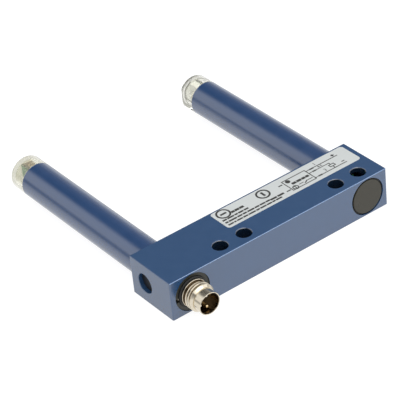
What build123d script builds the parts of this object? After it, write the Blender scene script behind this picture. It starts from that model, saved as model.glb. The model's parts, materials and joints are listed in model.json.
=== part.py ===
from build123d import *
import os
from math import cos, radians, sin, sqrt

# Fork light barrier. Millimetres, +Z up, the plug points along -Y, the arms along +Y.
# The origin is the centre of the block's underside.

# Arms: the passage between them, their tubes and how deep these sit in the block
passage_width = 50.0
tube_diameter = 10.5
tube_wall = 1.0
tube_reach = 54.9
tube_seat_depth = 10.75
tube_seat_shoulder = 0.55
tube_edge_chamfer = 0.15
bore_clearance = 0.05

# Housing block: its height leaves a thin wall over the larger front recess
block_depth = 17.5
arm_to_end_distance = 7.0
recess_wall = 0.4
block_corner_radius = 0.35
block_edge_chamfer = 0.15

# Screw holes: two pairs with one centre, on a line along the front edge
screw_hole_diameter = 4.3
screw_hole_inset = 4.1
screw_row_end_inset = 6.6
inner_pair_spacing = 32.0
outer_pair_spacing = 48.0
screw_hole_chamfer = 0.2

# Cross drilling for the wires between the arms
channel_diameter = 5.8
channel_inset = 6.0
channel_overrun = 1.0
channel_rim_chamfer = 0.15
channel_plug_thickness = 0.4
channel_plug_gap = 0.1
wire_window_diameter = 5.0
wire_diameter = 1.1
wire_pitch = 1.2

# End caps, with a flat window that faces the other arm
cap_length = 5.9
cap_edge_radius = 0.7
cap_spigot_length = 4.0
cap_spigot_wall = 0.6
cap_end_wall = 0.8
window_wall = 0.6
cap_clearance = 0.05

# Circuit boards in the arms: they lie beside the axis, on the side away from the gap
board_thickness = 0.8
board_offset = 0.7
board_edge_clearance = 0.07
board_tip_gap = 0.1
receiver_board_setback = 0.5

# Light-emitting and light-receiving diodes in their holders, behind the windows
diode_radius = 1.5
diode_flange_rim = 0.3
diode_flange_thickness = 0.5
diode_window_gap = 1.0
holder_depth = 2.2
holder_length = 4.4
holder_tip_gap = 0.1
holder_cap_clearance = 0.15
holder_clearance = 0.05

# Parts on the boards, placed along the arm from the block's back face
chip_length = 4.9
chip_height = 1.6
chip_leads_per_side = 4
chip_lead_pitch = 1.27
regulator_length = 4.5
regulator_height = 1.5
regulator_leads_per_side = 2
regulator_lead_pitch = 1.5
lead_reach = 1.0
lead_foot = 0.6
lead_width = 0.4
lead_thickness = 0.2
lead_edge_margin = 0.25
chip_standoff = 0.1
capacitor_length = 3.5
capacitor_width = 2.8
capacitor_height = 1.9
capacitor_bevel = 0.3
resistor_length = 2.0
resistor_width = 1.25
resistor_height = 0.55
resistor_pitch = 3.0
capacitor_place = 2.25
regulator_place = 11.0
driver_place = 24.0
emitter_resistor_place = 31.0
emitter_resistor_count = 4
receiver_resistor_place = 11.0
receiver_resistor_count = 5
amplifier_place = 33.0

# Front recesses, one for the plug's bush and one for the closing disc
closing_disc_ledge = 0.35
closing_disc_gap = 0.5
closing_disc_depth = 1.5
closing_disc_proud = 0.1
closing_disc_chamfer = 0.15
disc_seal_drop = 0.4
bush_recess_depth = 3.0
bush_face_drop = 0.25
bush_rim_wall = 0.95
bush_slot_angle = 188.0
bush_slot_width = 1.2
bush_slot_depth = 1.2
front_clearance = 0.05

# M8 plug
plug_reach = 7.2
thread_diameter = 8.0
thread_chamfer = 0.15
collar_length = 0.55
snap_groove_length = 0.8
snap_groove_depth = 0.55
shoulder_length = 1.0
shoulder_step = 0.2
nose_step = 0.7
nose_length = 2.8
nose_wall = 0.25
flange_lip = 0.55
flange_drop = 0.45
flange_thickness = 1.0
seal_groove_depth = 0.4
seal_lip = 0.5
seal_section = 0.75
seal_rounding = 0.3
seal_thread_gap = 0.1
shell_tail_wall = 0.45
shell_tail_length = 4.55
key_angle = 134.0
key_half_spread = 30.0
key_rib_width = 0.55
key_rib_height = 0.35
key_rib_length = 3.0
insert_drop = 5.6
pin_diameter = 1.0
pin_tip_drop = 1.7
pin_tip_rounding = 0.4
pin_circle_radius = 2.1
pin_angle = 160.0
pin_clearance = 0.02
pin_board_thickness = 0.8
pin_board_gap = 0.8
pin_board_clearance = 0.05

# Rating label, near the right end and the back edge of the block's top
label_length = 46.7
label_width = 8.5
label_thickness = 0.1
label_corner_radius = 1.0
label_end_margin = 1.55
label_back_margin = 0.6

# How far a cutting tool runs past the surface that it enters or leaves
overrun = 1.0

# Radii that follow from the values above
tube_radius = tube_diameter / 2
tube_inner_radius = tube_radius - tube_wall
bore_radius = tube_radius + bore_clearance
web_radius = bore_radius - tube_seat_shoulder
disc_radius = web_radius + closing_disc_ledge
disc_recess_radius = disc_radius + closing_disc_gap
spigot_radius = tube_inner_radius - cap_clearance
cavity_radius = spigot_radius - cap_spigot_wall
thread_radius = thread_diameter / 2
nose_radius = thread_radius - nose_step
nose_bore_radius = nose_radius - nose_wall
tail_radius = nose_bore_radius + shell_tail_wall
flange_radius = thread_radius + flange_lip
seal_groove_radius = thread_radius - seal_groove_depth
snap_groove_radius = thread_radius - snap_groove_depth
bush_recess_radius = flange_radius + bush_rim_wall + 2 * front_clearance

# The block's outline and the arms' axes
block_height = 2 * (max(disc_recess_radius, bush_recess_radius) + recess_wall)
arm_spacing = passage_width + tube_diameter
block_length = arm_spacing + 2 * arm_to_end_distance
front_y = -block_depth / 2
back_y = block_depth / 2
end_x = block_length / 2
axis_x = arm_spacing / 2
axis_z = block_height / 2

# Places along the arms, from the block to the tips
tube_start_y = back_y - tube_seat_depth
tube_end_y = back_y + tube_reach
cap_end_y = tube_end_y + cap_length
cavity_end_y = cap_end_y - cap_end_wall
window_x = cavity_radius + window_wall
board_tip_y = cavity_end_y - board_tip_gap
holder_tip_y = board_tip_y - holder_tip_gap
beam_y = holder_tip_y - holder_length / 2
screw_y = front_y + screw_hole_inset
channel_y = back_y - channel_inset

# Places along the plug, from its rim to the round board
rim_y = front_y - plug_reach
shoulder_end_y = rim_y + nose_length
thread_end_y = shoulder_end_y + shoulder_length
flange_front_y = front_y + flange_drop
collar_back_y = flange_front_y - seal_section - seal_thread_gap
collar_front_y = collar_back_y - collar_length
thread_start_y = collar_front_y - snap_groove_length
flange_back_y = flange_front_y + flange_thickness
tail_end_y = flange_back_y + shell_tail_length
pin_board_front_y = tail_end_y + pin_board_gap
pin_board_back_y = pin_board_front_y + pin_board_thickness


def rod_y(radius, y_low, y_high, x=0.0, z=0.0):
    """A round rod along Y."""
    rod = Cylinder(radius, y_high - y_low, rotation=(90, 0, 0))
    return Pos(x, (y_low + y_high) / 2, z) * rod


def rod_x(radius, x_low, x_high, y=0.0, z=0.0):
    """A round rod along X."""
    rod = Cylinder(radius, x_high - x_low, rotation=(0, 90, 0))
    return Pos((x_low + x_high) / 2, y, z) * rod


def block(x_low, x_high, y_low, y_high, z_low, z_high):
    """A box from its lowest to its highest corner."""
    size = Box(x_high - x_low, y_high - y_low, z_high - z_low)
    return Pos((x_low + x_high) / 2, (y_low + y_high) / 2, (z_low + z_high) / 2) * size


def turned_y(points):
    """A turned piece: points are (radius, y) pairs, revolved about the Y axis."""
    profile = Plane.XY * make_face(Polyline(*points, close=True))
    return revolve(profile, Axis.Y)


def on_arm(piece, side):
    """Places a piece, modelled for the left arm on its own axis, on the left or right arm."""
    if side == "right":
        piece = mirror(piece, about=Plane.YZ)
        return Pos(axis_x, 0, axis_z) * piece
    return Pos(-axis_x, 0, axis_z) * piece


def chord(radius, distance):
    """The length of a circle's chord at a distance from its centre."""
    return 2 * sqrt(radius ** 2 - distance ** 2)


def screw_hole_x():
    """The four screw holes' places along the block."""
    centre = end_x - screw_row_end_inset - outer_pair_spacing / 2
    half_spacings = (inner_pair_spacing / 2, outer_pair_spacing / 2)
    return [centre + sign * half for half in half_spacings for sign in (-1, 1)]


def chamfered_hole_z(x, y):
    """The tool for one screw hole through the block, with both rims broken."""
    radius = screw_hole_diameter / 2
    rim = radius + screw_hole_chamfer
    drill = Pos(x, y, axis_z) * Cylinder(radius, block_height + 2 * overrun)
    sink = Cone(radius, rim, screw_hole_chamfer)
    top = Pos(x, y, block_height - screw_hole_chamfer / 2) * sink
    bottom = Pos(x, y, screw_hole_chamfer / 2) * mirror(sink, about=Plane.XY)
    return drill + top + bottom


def make_housing_block():
    body = Pos(0, 0, axis_z) * Box(block_length, block_depth, block_height)
    body = fillet(body.edges().filter_by(Axis.Z), block_corner_radius)
    rims = body.faces().filter_by(Axis.Z).edges()
    body = chamfer(rims, block_edge_chamfer)
    for x in screw_hole_x():
        body -= chamfered_hole_z(x, screw_y)
    channel_x = axis_x - bore_radius + channel_overrun
    body -= rod_x(channel_diameter / 2, -end_x - overrun, channel_x, channel_y, axis_z)
    sink_radius = channel_diameter / 2 + channel_rim_chamfer
    sink = Cone(channel_diameter / 2, sink_radius, channel_rim_chamfer, rotation=(0, -90, 0))
    body -= Pos(-end_x + channel_rim_chamfer / 2, channel_y, axis_z) * sink
    for x in (-axis_x, axis_x):
        body -= rod_y(bore_radius, tube_start_y, back_y + overrun, x, axis_z)
        body -= rod_y(web_radius, front_y - overrun, back_y, x, axis_z)
    bush_y = front_y + bush_recess_depth
    disc_y = front_y + closing_disc_depth
    body -= rod_y(bush_recess_radius, front_y - overrun, bush_y, -axis_x, axis_z)
    body -= rod_y(disc_recess_radius, front_y - overrun, disc_y, axis_x, axis_z)
    return body


def make_tube():
    """A tube for the left arm, with a wire window in the wall that faces the gap."""
    outer = rod_y(tube_radius, tube_start_y, tube_end_y)
    outer = chamfer(outer.edges().filter_by(GeomType.CIRCLE), tube_edge_chamfer)
    tube = outer - rod_y(tube_inner_radius, tube_start_y - overrun, tube_end_y + overrun)
    window = rod_x(wire_window_diameter / 2, 0, tube_radius + overrun, channel_y)
    return tube - window


def make_end_cap():
    """A cap for the left arm: its flat window faces +X."""
    head = rod_y(tube_radius, tube_end_y, cap_end_y)
    rim = head.edges().filter_by(GeomType.CIRCLE).sort_by(Axis.Y)[-1]
    head = fillet(rim, cap_edge_radius)
    head -= block(
        window_x, tube_radius + overrun, tube_end_y - overrun, cap_end_y + overrun, -tube_radius, tube_radius
    )
    spigot_y = tube_end_y - cap_spigot_length
    cap = head + rod_y(spigot_radius, spigot_y, tube_end_y)
    return cap - rod_y(cavity_radius, spigot_y - overrun, cavity_end_y)


def board_height():
    """A board is as high as the cap's cavity lets it be where it lies."""
    return chord(cavity_radius - board_edge_clearance, board_offset + board_thickness)


def make_board(y_low):
    """A narrow board for the left arm: its parts are on the side that faces the gap."""
    face_x = -board_offset
    half = board_height() / 2
    return block(face_x - board_thickness, face_x, y_low, board_tip_y, -half, half)


def make_holder():
    """The diode's holder on the left board, with a stepped hole for the diode."""
    low_x = -board_offset
    high_x = low_x + holder_depth
    half = chord(cavity_radius - holder_cap_clearance, max(board_offset, high_x)) / 2
    body = block(low_x, high_x, holder_tip_y - holder_length, holder_tip_y, -half, half)
    body -= rod_x(diode_radius + holder_clearance, low_x - overrun, high_x + overrun, beam_y)
    pocket_radius = diode_radius + diode_flange_rim + holder_clearance
    pocket_x = low_x + diode_flange_thickness + holder_clearance
    return body - rod_x(pocket_radius, low_x - overrun, pocket_x, beam_y)


def make_diode():
    """A round diode on the left board that looks across the gap, with a domed lens."""
    low_x = -board_offset
    flange_x = low_x + diode_flange_thickness
    dome_x = cavity_radius - diode_window_gap - diode_radius
    diode = rod_x(diode_radius + diode_flange_rim, low_x, flange_x, beam_y)
    diode += rod_x(diode_radius, low_x, dome_x, beam_y)
    return diode + Pos(dome_x, beam_y, 0) * Sphere(diode_radius)


def make_chip(place, length, height, leads_per_side, lead_pitch):
    """A small-outline chip on the left board, with bent legs on its upper and lower side."""
    y = back_y + place
    low_x = -board_offset
    knee_x = low_x + height / 2
    leg_tip = board_height() / 2 - lead_edge_margin
    half_width = leg_tip - lead_reach
    heel = leg_tip - lead_foot
    chip = block(
        low_x + chip_standoff, low_x + height, y - length / 2, y + length / 2, -half_width, half_width
    )
    legs = []
    for index in range(leads_per_side):
        leg_y = y + (index - (leads_per_side - 1) / 2) * lead_pitch
        y_low = leg_y - lead_width / 2
        y_high = leg_y + lead_width / 2
        foot = block(low_x, low_x + lead_thickness, y_low, y_high, heel, leg_tip)
        shin = block(low_x, knee_x, y_low, y_high, heel, heel + lead_thickness)
        knee_z = half_width - lead_thickness
        knee = block(knee_x - lead_thickness, knee_x, y_low, y_high, knee_z, heel + lead_thickness)
        legs.append(foot + shin + knee)
    for leg in legs:
        chip += leg
        chip += mirror(leg, about=Plane.XY)
    return chip


def make_resistors(place, count):
    """A row of small resistors on the left board, as separate solids."""
    low_x = -board_offset
    half_width = resistor_width / 2
    half_length = resistor_length / 2
    row = []
    for index in range(count):
        y = back_y + place + index * resistor_pitch
        row.append(
            block(low_x, low_x + resistor_height, y - half_width, y + half_width, -half_length, half_length)
        )
    return Compound(children=row)


def make_capacitor():
    """A moulded tantalum capacitor on the left board."""
    y = back_y + capacitor_place
    low_x = -board_offset
    half_length = capacitor_length / 2
    half_width = capacitor_width / 2
    body = block(
        low_x, low_x + capacitor_height, y - half_length, y + half_length, -half_width, half_width
    )
    top_edges = body.faces().sort_by(Axis.X)[-1].edges()
    return chamfer(top_edges, capacitor_bevel)


def make_connector_shell():
    """The plug's metal body, turned about its own axis, with two key ribs in the nose."""
    chamfer_radius = thread_radius - thread_chamfer
    shell = turned_y([
        (nose_bore_radius, rim_y),
        (nose_radius, rim_y),
        (nose_radius, shoulder_end_y),
        (nose_radius + shoulder_step, shoulder_end_y),
        (thread_radius, thread_end_y),
        (thread_radius, thread_start_y - thread_chamfer),
        (chamfer_radius, thread_start_y),
        (snap_groove_radius, thread_start_y),
        (snap_groove_radius, collar_front_y),
        (chamfer_radius, collar_front_y),
        (thread_radius, collar_front_y + thread_chamfer),
        (thread_radius, collar_back_y - thread_chamfer),
        (chamfer_radius, collar_back_y),
        (seal_groove_radius, collar_back_y),
        (seal_groove_radius, flange_front_y),
        (flange_radius, flange_front_y),
        (flange_radius, flange_back_y),
        (tail_radius, flange_back_y),
        (tail_radius, tail_end_y),
        (nose_bore_radius, tail_end_y),
    ])
    rib = block(
        nose_bore_radius - key_rib_height, nose_bore_radius + nose_wall / 2,
        rim_y, rim_y + key_rib_length, -key_rib_width / 2, key_rib_width / 2,
    )
    for angle in (key_angle - key_half_spread, key_angle + key_half_spread):
        shell += Rot(0, -angle, 0) * rib
    return Pos(-axis_x, 0, axis_z) * shell


def pin_places():
    """The three pins' places (x, z) round the plug's axis, one third of a turn apart."""
    angles = [radians(pin_angle + 120 * index) for index in range(3)]
    return [(pin_circle_radius * cos(a), pin_circle_radius * sin(a)) for a in angles]


def drilled_for_pins(radius, y_low, y_high):
    """A round piece on the plug's axis with a hole for each pin."""
    piece = rod_y(radius, y_low, y_high)
    for x, z in pin_places():
        piece -= rod_y(pin_diameter / 2 + pin_clearance, y_low - overrun, y_high + overrun, x, z)
    return Pos(-axis_x, 0, axis_z) * piece


def make_insert():
    """The plastic carrier of the pins, in the shell's bore."""
    return drilled_for_pins(nose_bore_radius - pin_clearance, rim_y + insert_drop, tail_end_y)


def make_pin_board():
    """The round board behind the plug that the pins' tails are soldered into."""
    radius = tube_inner_radius - pin_board_clearance
    return drilled_for_pins(radius, pin_board_front_y, pin_board_back_y)


def make_pin(x, z):
    """A contact pin with a rounded tip; its tail ends flush with the round board."""
    pin = rod_y(pin_diameter / 2, rim_y + pin_tip_drop, pin_board_back_y, x, z)
    tip = pin.edges().filter_by(GeomType.CIRCLE).sort_by(Axis.Y)[0]
    pin = fillet(tip, pin_tip_rounding)
    return Pos(-axis_x, 0, axis_z) * pin


def make_connector_seal():
    """The O-ring in the groove at the foot of the thread; it lies on the flange."""
    low_y = flange_front_y - seal_section
    inner = seal_groove_radius + pin_clearance
    ring = rod_y(thread_radius + seal_lip, low_y, flange_front_y)
    outer_rim = ring.edges().filter_by(GeomType.CIRCLE).sort_by(Axis.Y)[0]
    ring = fillet(outer_rim, seal_rounding)
    ring -= rod_y(inner, low_y - overrun, flange_front_y + overrun)
    return Pos(-axis_x, 0, axis_z) * ring


def make_connector_carrier():
    """The bush in the left recess: the plug's flange and tail sit in its stepped bore."""
    ring_radius = bush_recess_radius - front_clearance
    body_radius = web_radius - front_clearance
    face_y = front_y + bush_face_drop
    ring_back_y = front_y + bush_recess_depth
    flange_pocket = flange_radius + front_clearance
    tail_pocket = tail_radius + front_clearance
    bush = turned_y([
        (flange_pocket, face_y),
        (ring_radius, face_y),
        (ring_radius, ring_back_y),
        (body_radius, ring_back_y),
        (body_radius, tail_end_y),
        (tail_pocket, tail_end_y),
        (tail_pocket, flange_back_y),
        (flange_pocket, flange_back_y),
    ])
    half_width = bush_slot_width / 2
    slot_y = face_y + bush_slot_depth
    slot = block(tail_pocket, ring_radius + overrun, face_y - overrun, slot_y, -half_width, half_width)
    bush -= Rot(0, -bush_slot_angle, 0) * slot
    return Pos(-axis_x, 0, axis_z) * bush


def make_bore_plug():
    """The disc that closes the right bore; it lies on the ledge round the web's hole."""
    back = front_y + closing_disc_depth
    disc = rod_y(disc_radius, front_y - closing_disc_proud, back, axis_x, axis_z)
    rim = disc.edges().filter_by(GeomType.CIRCLE).sort_by(Axis.Y)[0]
    return chamfer(rim, closing_disc_chamfer)


def make_plug_seal():
    """The ring that fills the gap round the disc, below the block's front face."""
    low_y = front_y + disc_seal_drop
    high_y = front_y + closing_disc_depth
    inner_radius = disc_radius + front_clearance
    ring = rod_y(disc_recess_radius - front_clearance, low_y, high_y)
    ring -= rod_y(inner_radius, low_y - overrun, high_y + overrun)
    return Pos(axis_x, 0, axis_z) * ring


def make_channel_plug():
    """The disc that closes the cross drilling in the left end face, beside the tube."""
    high_x = -axis_x - tube_radius - channel_plug_gap
    low_x = high_x - channel_plug_thickness
    return rod_x(channel_diameter / 2 - front_clearance, low_x, high_x, channel_y, axis_z)


def make_link_wires():
    """Three straight wires side by side, from the left board's face to the right board's."""
    reach = axis_x + board_offset
    wires = [
        rod_x(wire_diameter / 2, -reach, reach, channel_y, axis_z + step * wire_pitch)
        for step in (-1, 0, 1)
    ]
    return Compound(children=wires)


def make_label():
    """The foil on the block's top, with rounded corners."""
    outline = RectangleRounded(label_length, label_width, label_corner_radius)
    x = end_x - label_end_margin - label_length / 2
    y = back_y - label_back_margin - label_width / 2
    return Pos(x, y, block_height) * extrude(outline, label_thickness)


def make_arm_parts():
    """The pieces that both arms have, by node name."""
    parts = {}
    receiver_start_y = tube_start_y + receiver_board_setback
    ends = (("left", "emitter", pin_board_back_y), ("right", "receiver", receiver_start_y))
    for side, role, board_start_y in ends:
        parts[f"{side}_tube"] = on_arm(make_tube(), side)
        parts[f"{side}_end_cap"] = on_arm(make_end_cap(), side)
        parts[f"{role}_board"] = on_arm(make_board(board_start_y), side)
        parts[f"{role}_holder"] = on_arm(make_holder(), side)
        parts[f"{role}_diode"] = on_arm(make_diode(), side)
    return parts


def make_board_parts():
    """What is soldered to the two boards, by node name."""
    chip = (chip_length, chip_height, chip_leads_per_side, chip_lead_pitch)
    regulator = (regulator_length, regulator_height, regulator_leads_per_side, regulator_lead_pitch)
    emitter_row = make_resistors(emitter_resistor_place, emitter_resistor_count)
    receiver_row = make_resistors(receiver_resistor_place, receiver_resistor_count)
    return {
        "supply_capacitor": on_arm(make_capacitor(), "left"),
        "regulator": on_arm(make_chip(regulator_place, *regulator), "left"),
        "driver_chip": on_arm(make_chip(driver_place, *chip), "left"),
        "emitter_resistors": on_arm(emitter_row, "left"),
        "amplifier_chip": on_arm(make_chip(amplifier_place, *chip), "right"),
        "receiver_resistors": on_arm(receiver_row, "right"),
    }


def make_plug_parts():
    """The plug, its pins and what holds and seals it, by node name."""
    parts = {
        "connector_shell": make_connector_shell(),
        "connector_insert": make_insert(),
        "connector_board": make_pin_board(),
        "connector_seal": make_connector_seal(),
        "connector_carrier": make_connector_carrier(),
    }
    for number, place in zip((1, 3, 4), pin_places()):
        parts[f"contact_pin_{number}"] = make_pin(*place)
    return parts


def make_block_parts():
    """The block and what closes, crosses and labels it, by node name."""
    return {
        "housing_block": make_housing_block(),
        "bore_plug": make_bore_plug(),
        "plug_seal": make_plug_seal(),
        "channel_plug": make_channel_plug(),
        "link_wires": make_link_wires(),
        "rating_label": make_label(),
    }


os.makedirs("parts", exist_ok=True)
for group in (make_block_parts(), make_arm_parts(), make_board_parts(), make_plug_parts()):
    for node, solid in group.items():
        export_step(solid, f"parts/{node}.step")
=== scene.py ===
"""Studio look of the fork light barrier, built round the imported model.

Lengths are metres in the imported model's frame: +Z up, the plug points along -Y, the arms
along +Y. Sizes in the classes are millimetres, and `MM` turns them into metres.
The plug, the arms and the boards have their middle `AXIS_HEIGHT` above the underside.
"""

from __future__ import annotations

import json
import logging
import math
from dataclasses import dataclass, field
from enum import Enum
from typing import Optional, Sequence, Union

import bmesh
import bpy
from mathutils import Matrix, Vector

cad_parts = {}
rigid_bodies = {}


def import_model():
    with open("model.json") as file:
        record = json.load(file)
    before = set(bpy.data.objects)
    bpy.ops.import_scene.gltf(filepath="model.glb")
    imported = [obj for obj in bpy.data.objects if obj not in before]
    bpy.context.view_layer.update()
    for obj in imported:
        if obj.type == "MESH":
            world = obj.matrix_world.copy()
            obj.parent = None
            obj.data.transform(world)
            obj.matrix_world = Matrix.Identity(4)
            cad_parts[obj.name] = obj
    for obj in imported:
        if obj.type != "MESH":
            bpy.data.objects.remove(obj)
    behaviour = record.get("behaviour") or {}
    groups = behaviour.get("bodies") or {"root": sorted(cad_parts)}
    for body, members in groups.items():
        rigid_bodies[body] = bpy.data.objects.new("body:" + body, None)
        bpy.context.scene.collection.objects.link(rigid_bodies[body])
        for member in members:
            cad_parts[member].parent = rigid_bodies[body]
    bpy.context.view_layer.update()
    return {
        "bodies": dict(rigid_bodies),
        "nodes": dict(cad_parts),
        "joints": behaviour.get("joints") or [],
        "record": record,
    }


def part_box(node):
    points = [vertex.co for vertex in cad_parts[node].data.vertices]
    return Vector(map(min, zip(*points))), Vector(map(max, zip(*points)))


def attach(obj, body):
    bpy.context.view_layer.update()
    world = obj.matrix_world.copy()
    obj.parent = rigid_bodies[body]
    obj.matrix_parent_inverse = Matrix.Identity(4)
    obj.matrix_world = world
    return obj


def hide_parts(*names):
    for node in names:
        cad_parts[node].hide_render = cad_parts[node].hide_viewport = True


LOG = logging.getLogger("fork_barrier")
MM = 0.001
AXIS_HEIGHT = 6.0
Pair = tuple[float, float]
Triple = tuple[float, float, float]
Colour = Triple
Bands = tuple[Pair, ...]
Looks = dict[str, object]
Number = Union["Signal", float]
Socket = bpy.types.NodeSocket
Piece = bpy.types.Object
Points = list[bmesh.types.BMVert]


class Side(Enum):
    """The two arms; the value is the sign of the arm's X."""

    LEFT = -1
    RIGHT = 1


class MarkKind(Enum):
    """The simple shapes that the label's print is made of."""

    BAR = "bar"
    RING = "ring"
    DISC = "disc"
    FRAME = "frame"
    NUMBER = "number"


@dataclass(frozen=True, eq=False)
class Signal:
    """A number that runs through a finish's nodes; arithmetic on it adds Math nodes."""

    bench: NodeBench
    socket: Socket

    def _math(self, operation: str, *values: Number) -> Signal:
        """Adds one Math node.

        Args:
            operation: The node's operation.
            values: Its inputs, in order.

        Returns:
            The node's result.
        """
        node = self.bench.add("Math", {"operation": operation}, dict(enumerate(values)))
        return Signal(self.bench, node.outputs[0])

    def __add__(self, other: Number) -> Signal:
        """self + other."""
        return self._math("ADD", self, other)

    __radd__ = __add__

    def __sub__(self, other: Number) -> Signal:
        """self - other."""
        return self._math("SUBTRACT", self, other)

    def __rsub__(self, other: Number) -> Signal:
        """other - self."""
        return self._math("SUBTRACT", other, self)

    def __mul__(self, other: Number) -> Signal:
        """self * other."""
        return self._math("MULTIPLY", self, other)

    __rmul__ = __mul__

    def __abs__(self) -> Signal:
        """The number without its sign."""
        return self._math("ABSOLUTE", self)

    def __gt__(self, limit: Number) -> Signal:
        """1 where the number is above the limit, else 0."""
        return self._math("GREATER_THAN", self, limit)

    def __lt__(self, limit: Number) -> Signal:
        """1 where the number is below the limit, else 0."""
        return self._math("LESS_THAN", self, limit)

    def between(self, low: float, high: float) -> Signal:
        """1 where a length lies between two places in millimetres, else 0."""
        return (self > low * MM) * (self < high * MM)

    def most(self, other: Number) -> Signal:
        """The larger of the two."""
        return self._math("MAXIMUM", self, other)

    def bearing(self, ahead: Number) -> Signal:
        """The angle, in radians, of a way that goes this far aside and that far ahead."""
        return self._math("ARCTAN2", self, ahead)

    def ramp(self, low: float, high: float) -> Signal:
        """A smooth rise from 0 at low to 1 at high.

        Args:
            low: Where the rise starts.
            high: Where it ends.

        Returns:
            The share, from 0 to 1.
        """
        settings = {"interpolation_type": "SMOOTHSTEP"}
        inputs = {"Value": self, "From Min": low, "From Max": high}
        return Signal(self.bench, self.bench.add("MapRange", settings, inputs).outputs[0])


@dataclass
class NodeBench:
    """Places and links the nodes of one shader tree, which it empties first."""

    tree: bpy.types.NodeTree

    def __post_init__(self) -> None:
        """Empties the tree."""
        self.tree.nodes.clear()

    def add(self, kind: str, settings: dict, inputs: dict) -> bpy.types.Node:
        """Adds a node.

        Args:
            kind: The node's type, without the ShaderNode that it starts with.
            settings: Its properties, which are set first.
            inputs: Values or links by the socket's number, identifier or name.

        Returns:
            The new node.
        """
        node = self.tree.nodes.new(f"ShaderNode{kind}")
        node.location = (220 * len(self.tree.nodes), 0)
        for name, value in settings.items():
            setattr(node, name, value)
        for key, value in inputs.items():
            self.feed(self._input(node, key), value)
        return node

    @staticmethod
    def _input(node: bpy.types.Node, key: Union[int, str]) -> Socket:
        """Finds an input.

        Args:
            node: The node.
            key: The input's number, identifier or name.

        Returns:
            The input.
        """
        found = [socket for socket in node.inputs if socket.identifier == key]
        return found[0] if found else node.inputs[key]

    def feed(self, socket: Socket, value: object) -> None:
        """Links an input, or sets its value.

        Args:
            socket: The input.
            value: A Signal, an output or a plain value.
        """
        if isinstance(value, Signal):
            value = value.socket
        if isinstance(value, Socket):
            self.tree.links.new(value, socket)
        else:
            socket.default_value = value

    def place(self) -> Socket:
        """The point on the piece, in metres."""
        return self.add("TexCoord", {}, {}).outputs["Object"]

    def axes(self, vector: Optional[Socket] = None) -> tuple[Signal, Signal, Signal]:
        """Splits a vector.

        Args:
            vector: The output that gives it; the point on the piece where there is none.

        Returns:
            Its X, Y and Z.
        """
        outputs = self.add("SeparateXYZ", {}, {0: vector or self.place()}).outputs
        return tuple(Signal(self, output) for output in outputs)

    def noise(self, grain: float, detail: float = 2.0, stretch: Triple = (1, 1, 1)) -> Signal:
        """Noise that is fixed to the piece.

        Args:
            grain: The size of one spot in millimetres.
            detail: How many finer layers there are.
            stretch: How much larger the spots are along each axis.

        Returns:
            The noise, mostly from 0.3 to 0.7.
        """
        scale = tuple(1 / (grain * MM * factor) for factor in stretch)
        mapped = self.add("Mapping", {}, {"Vector": self.place(), "Scale": scale})
        inputs = {"Vector": mapped.outputs[0], "Scale": 1.0, "Detail": detail}
        return Signal(self, self.add("TexNoise", {}, inputs).outputs[0])

    def blend(self, share: Number, first: object, second: object) -> Socket:
        """Mixes two colours.

        Args:
            share: How much of the second shows.
            first: A colour, an output or a Signal.
            second: The same.

        Returns:
            The mixed colour.
        """
        ends = [(*end, 1.0) if isinstance(end, tuple) else end for end in (first, second)]
        inputs = {"Factor_Float": share, "A_Color": ends[0], "B_Color": ends[1]}
        outputs = self.add("Mix", {"data_type": "RGBA"}, inputs).outputs
        return next(socket for socket in outputs if socket.identifier == "Result_Color")

    def greys(self, bands: Bands, place: Signal) -> Signal:
        """A grey that changes from stop to stop.

        Args:
            bands: Pairs of place and light, in order.
            place: Where the grey is read, from 0 to 1.

        Returns:
            The grey.
        """
        node = self.add("ValToRGB", {}, {0: place})
        stops = node.color_ramp.elements
        while len(stops) < len(bands):
            stops.new(1.0)
        for stop, (position, light) in zip(stops, bands):
            stop.position = position
            stop.color = (light, light, light, 1.0)
        return Signal(self, node.outputs[0])

    def bump(self, height: Signal, depth: float, strength: float = 1.0) -> Socket:
        """Turns a height into a normal.

        Args:
            height: The height, from 0 to 1.
            depth: What 1 stands for, in millimetres.
            strength: How much of the bump shows.

        Returns:
            The bumped normal.
        """
        inputs = {"Height": height, "Distance": depth * MM, "Strength": strength}
        return self.add("Bump", {}, inputs).outputs[0]


def reach_squared(aside: Signal, ahead: Signal) -> Signal:
    """The squared distance of a place that lies this far aside and that far ahead."""
    return aside * aside + ahead * ahead


def radius_squared(radius: float) -> float:
    """The square of a radius in millimetres, in square metres."""
    return (radius * MM) ** 2


@dataclass(frozen=True)
class Finish:
    """What every finish has; a finish of one kind is built once and then shared."""

    name: str
    colour: Colour
    roughness: float
    ior: float = 1.5
    metallic: float = 0.0
    # The colour of the shade that is painted into recesses.
    painted_shade_colour: Colour = (0.004, 0.008, 0.015)

    def constants(self) -> Looks:
        """The shader's values that are the same all over the piece."""
        return {
            "Base Color": (*self.colour, 1.0),
            "Roughness": self.roughness,
            "IOR": self.ior,
            "Metallic": self.metallic,
        }

    def vary(self, bench: NodeBench) -> Looks:
        """What varies over the piece, by the name of the shader's socket."""
        return {}

    def painted_shade(self, bench: NodeBench) -> Optional[Signal]:
        """Where shade is painted on the piece, from 0 to 1; None where none is painted."""
        return None

    def add_painted_shade(self, bench: NodeBench, tone: Socket) -> Socket:
        """Paints shade into a colour in the piece's recesses, if it has any."""
        painted_shade = self.painted_shade(bench)
        return tone if painted_shade is None else bench.blend(painted_shade, tone, self.painted_shade_colour)

    def shade(self, factor: float) -> Colour:
        """The colour made lighter or darker."""
        return tuple(min(1.0, value * factor) for value in self.colour)

    def material(self) -> bpy.types.Material:
        """Makes the material, or finds it where it is already made.

        Returns:
            The finish as a material.
        """
        name = f"{self.name}_look"
        made = bpy.data.materials.get(name)
        if made is None:
            made = bpy.data.materials.new(name)
            made.use_nodes = True
            made.diffuse_color = (*self.colour, 1.0)
            bench = NodeBench(made.node_tree)
            looks = {**self.constants(), **self.vary(bench)}
            shader = bench.add("BsdfPrincipled", {}, looks)
            bench.add("OutputMaterial", {}, {"Surface": shader.outputs[0]})
        return made


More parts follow.
